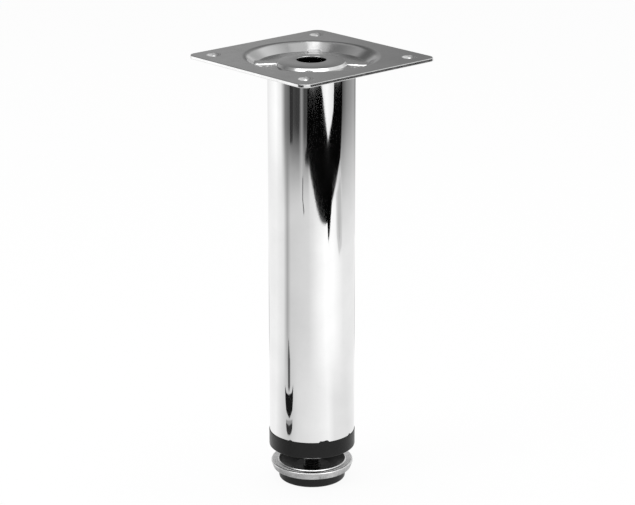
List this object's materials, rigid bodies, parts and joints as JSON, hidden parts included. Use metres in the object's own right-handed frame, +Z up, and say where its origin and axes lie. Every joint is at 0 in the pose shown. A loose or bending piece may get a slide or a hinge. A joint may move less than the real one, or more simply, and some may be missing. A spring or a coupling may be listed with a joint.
{
  "type": "height adjustable table leg",
  "caption": "Round chromed table leg with a square pressed mounting plate, a black plastic collar and a screw foot in a metal ring that sets the height.",
  "frame": {"origin": "on the floor under the middle of the foot, on the tube's axis", "axes": "+Z up along the tube, X and Y along the sides of the mounting plate"},
  "size_m": [0.1, 0.1, 0.2557],
  "materials": {
    "chromed_sheet": "chrome plated pressed steel sheet, slightly soft reflections",
    "chromed_tube": "mirror chrome plated steel tube",
    "black_collar_plastic": "moulded black plastic, fine satin grain",
    "zinc_steel": "zinc plated steel",
    "blackened_steel": "blackened steel thread, lightly oiled",
    "black_foot_plastic": "moulded black plastic, satin",
    "satin_ring": "spun steel, zinc plated, mottled satin"
  },
  "bodies": {
    "leg": {"mounting_plate": "chromed_sheet", "leg_tube": "chromed_tube", "end_insert": "black_collar_plastic", "spindle_nut": "zinc_steel"},
    "glide": {"foot_glide": "black_foot_plastic"},
    "adjuster": {"adjusting_spindle": "blackened_steel", "foot_hub": "black_foot_plastic", "foot_ring": "satin_ring"}
  },
  "joints": [
    {"name": "foot_height", "type": "slide", "parent": "leg", "child": "glide", "axis": [0, 0, 1], "range_m": [-0.015, 0.009]},
    {"name": "foot_turn", "type": "hinge", "parent": "glide", "child": "adjuster", "pos_m": [0, 0, 0], "axis": [0, 0, 1], "range_deg": [-3600, 2160]}
  ],
  "couplings": [
    {"joint": "foot_turn", "follows": "foot_height", "rad_per_m": 4188.8}
  ]
}
